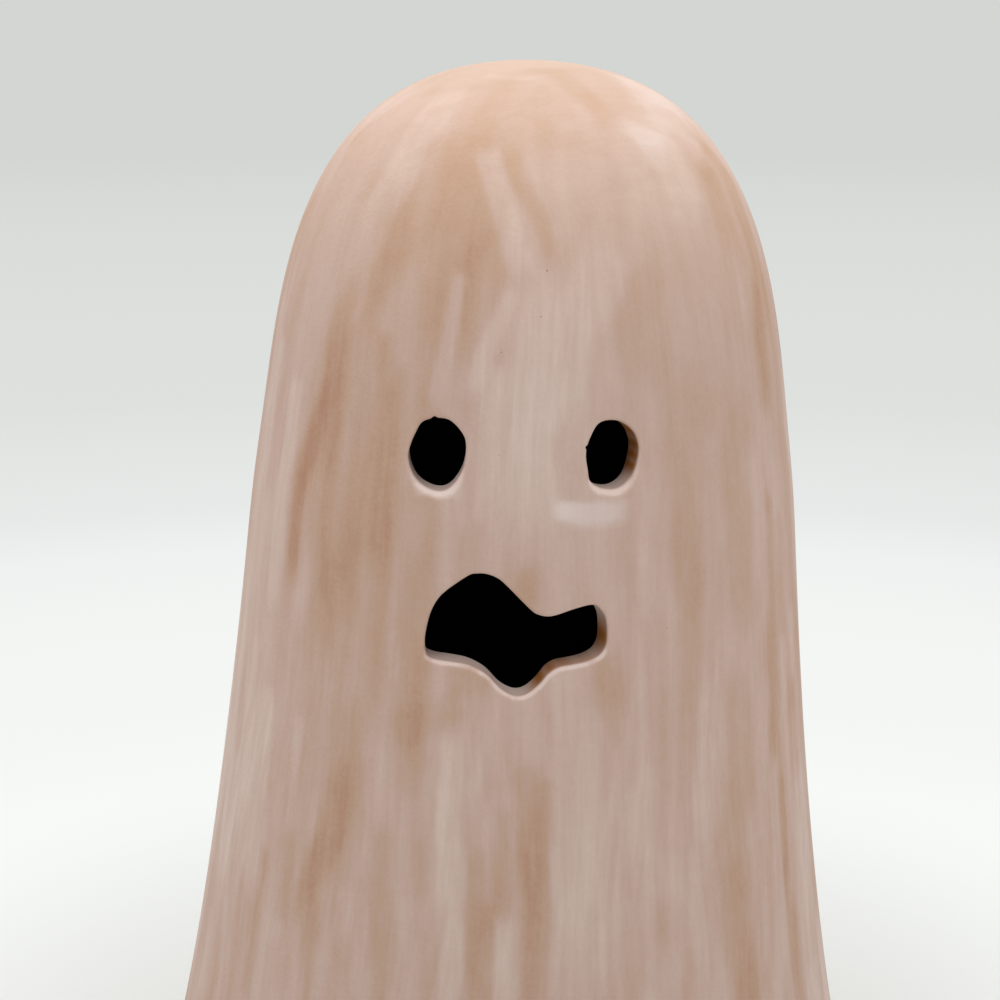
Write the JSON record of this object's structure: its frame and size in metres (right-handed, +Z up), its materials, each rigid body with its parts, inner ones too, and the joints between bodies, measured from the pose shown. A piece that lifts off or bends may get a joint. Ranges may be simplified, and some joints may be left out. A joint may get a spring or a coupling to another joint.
{
  "type": "ceramic ghost figure",
  "caption": "Hollow ceramic sheet ghost with brushed white slip and a face cut right through the wall, standing over a battery tea light.",
  "frame": {"origin": "on the table, at the middle of the ghost's hem, which is also the middle of the tea light's foot", "axes": "+Z up, the face looks along -Y, +X is to the right as the viewer faces the ghost"},
  "size_m": [0.1671, 0.167, 0.25],
  "materials": {
    "slipped_terracotta": "unglazed, with thin white slip brushed on in streaks",
    "ivory_plastic": "moulded, satin",
    "black_plastic": "moulded, satin",
    "flame_silicone": "cloudy, translucent",
    "lamp_epoxy": "clear amber, glossy",
    "tinned_wire": "tinned",
    "cell_steel": "nickel plated",
    "contact_brass": "stamped strip",
    "zinc_steel": "zinc plated"
  },
  "bodies": {
    "tealight": {"candle_cup": "ivory_plastic", "candle_base": "ivory_plastic", "flame_diffuser": "flame_silicone", "led_lamp": "lamp_epoxy", "led_leads": "tinned_wire", "coin_cell": "cell_steel", "positive_contact": "contact_brass", "negative_contact": "contact_brass"},
    "ghost": {"ghost_shell": "slipped_terracotta"},
    "switch": {"switch_slider": "black_plastic", "switch_bridge": "contact_brass"},
    "door": {"battery_door": "ivory_plastic"},
    "screw": {"door_screw": "zinc_steel"}
  },
  "joints": [
    {"name": "ghost_lift", "type": "slide", "parent": "tealight", "child": "ghost", "axis": [0, 0, 1], "range_m": [0, 0.06]},
    {"name": "switch_slide", "type": "slide", "parent": "tealight", "child": "switch", "axis": [0, 1, 0], "range_m": [0, 0.003]},
    {"name": "door_hinge", "type": "hinge", "parent": "tealight", "child": "door", "pos_m": [-0.0151, 0, 0.0011], "axis": [0, 1, 0], "range_deg": [0, 80]},
    {"name": "screw_turn", "type": "hinge", "parent": "door", "child": "screw", "pos_m": [0.00393, 0.00969, 0], "axis": [0, 0, 1], "continuous": true}
  ]
}
